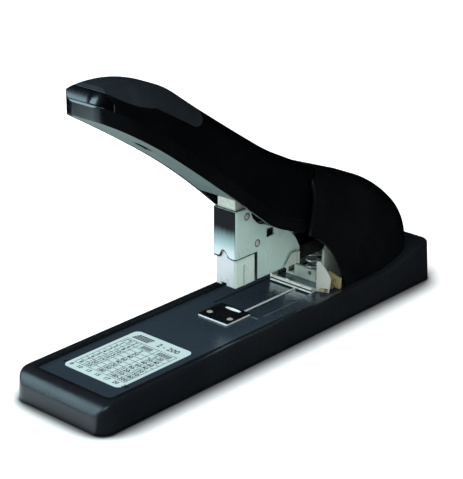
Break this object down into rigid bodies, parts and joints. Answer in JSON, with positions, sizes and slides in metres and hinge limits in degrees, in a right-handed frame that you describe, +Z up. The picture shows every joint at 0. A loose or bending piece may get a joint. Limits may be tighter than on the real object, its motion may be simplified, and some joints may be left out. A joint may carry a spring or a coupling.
{
  "type": "heavy-duty desktop stapler",
  "caption": "Long-base heavy-duty stapler with a raised waisted lever handle, a zinc magazine head over a clinch anvil, a rear hump and a sliding paper stop.",
  "frame": {"origin": "middle of the base's footprint, on the surface that it stands on", "axes": "+X along the base towards the paper end, +Y to the left, +Z up"},
  "size_m": [0.31, 0.076, 0.1893],
  "materials": {
    "black_shell": "satin black moulding",
    "black_gloss": "polished black moulding",
    "grip": "fine texture",
    "grey_plate": "matt grey moulding",
    "deck_paint": "satin dark blue-grey paint",
    "anvil_steel": "gloss black",
    "label": "satin label stock",
    "zinc": "bright zinc plate",
    "dark_steel": "black oxide",
    "steel": "plain steel",
    "bright_steel": "bright plate",
    "brass": "satin brass",
    "rubber": "matt rubber"
  },
  "bodies": {
    "base": {"base_shell": "black_shell", "bottom_plate": "dark_steel", "bottom_screws": "steel", "rubber_feet": "rubber", "deck_plate": "deck_paint", "capacity_label": "label", "anvil_plate": "anvil_steel", "anvil_rivets": "bright_steel", "frame_bracket": "dark_steel", "frame_screws": "steel", "main_pivot_pin": "steel", "pivot_clips": "dark_steel", "pivot_washers": "steel", "handle_spring": "steel", "arm_spring": "steel", "rear_cover": "black_shell", "cover_screws": "steel"},
    "handle": {"handle_shell": "black_shell", "soft_grip": "grip", "handle_band": "black_gloss", "handle_underside": "grey_plate", "handle_lever": "dark_steel", "handle_screw": "steel", "drive_roller": "steel", "roller_pin": "steel"},
    "magazine_arm": {"magazine_housing": "zinc", "housing_rivets": "bright_steel", "arm_beam": "dark_steel", "arm_bushes": "steel"},
    "driver": {"driver_block": "zinc", "driver_blade": "steel"},
    "drawer": {"drawer_cap": "zinc", "drawer_rail": "steel", "staple_strip": "bright_steel", "follower_spring": "steel"},
    "follower": {"staple_follower": "steel"},
    "latch": {"drawer_latch": "zinc"},
    "depth_stop": {"stop_bracket": "bright_steel", "stop_keeper": "steel", "stop_rivet": "bright_steel"},
    "stop_release": {"stop_tab": "brass"}
  },
  "joints": [
    {"name": "handle_press", "type": "hinge", "parent": "base", "child": "handle", "pos_m": [-0.096, 0, 0.06], "axis": [0, 1, 0], "range_deg": [0, 23], "stiffness_Nm_per_rad": 2.5, "springref_deg": -25.78, "deforming": ["handle_spring"]},
    {"name": "arm_dip", "type": "hinge", "parent": "base", "child": "magazine_arm", "pos_m": [-0.096, 0, 0.06], "axis": [0, 1, 0], "range_deg": [0, 9.25], "deforming": ["arm_spring"]},
    {"name": "driver_stroke", "type": "slide", "parent": "magazine_arm", "child": "driver", "axis": [0, 0, -1], "range_m": [0, 0.0241]},
    {"name": "drawer_pull", "type": "slide", "parent": "magazine_arm", "child": "drawer", "axis": [-1, 0, 0], "range_m": [-0.04, 0]},
    {"name": "follower_slide", "type": "slide", "parent": "drawer", "child": "follower", "axis": [1, 0, 0], "range_m": [-0.01, 0], "stiffness_N_per_m": 60, "springref_m": 0.03, "deforming": ["follower_spring"]},
    {"name": "latch_press", "type": "slide", "parent": "magazine_arm", "child": "latch", "axis": [0, -1, 0], "range_m": [0, 0.001], "stiffness_N_per_m": 500, "springref_m": -0.001},
    {"name": "stop_slide", "type": "slide", "parent": "base", "child": "depth_stop", "axis": [-1, 0, 0], "range_m": [-0.034, 0]},
    {"name": "tab_press", "type": "slide", "parent": "depth_stop", "child": "stop_release", "axis": [1, 0, 0], "range_m": [0, 0.0025], "stiffness_N_per_m": 300, "springref_m": -0.002}
  ],
  "couplings": [
    {"joint": "arm_dip", "follows": "handle_press", "ratio": 0.4},
    {"joint": "driver_stroke", "follows": "handle_press", "m_per_rad": 0.059787}
  ]
}
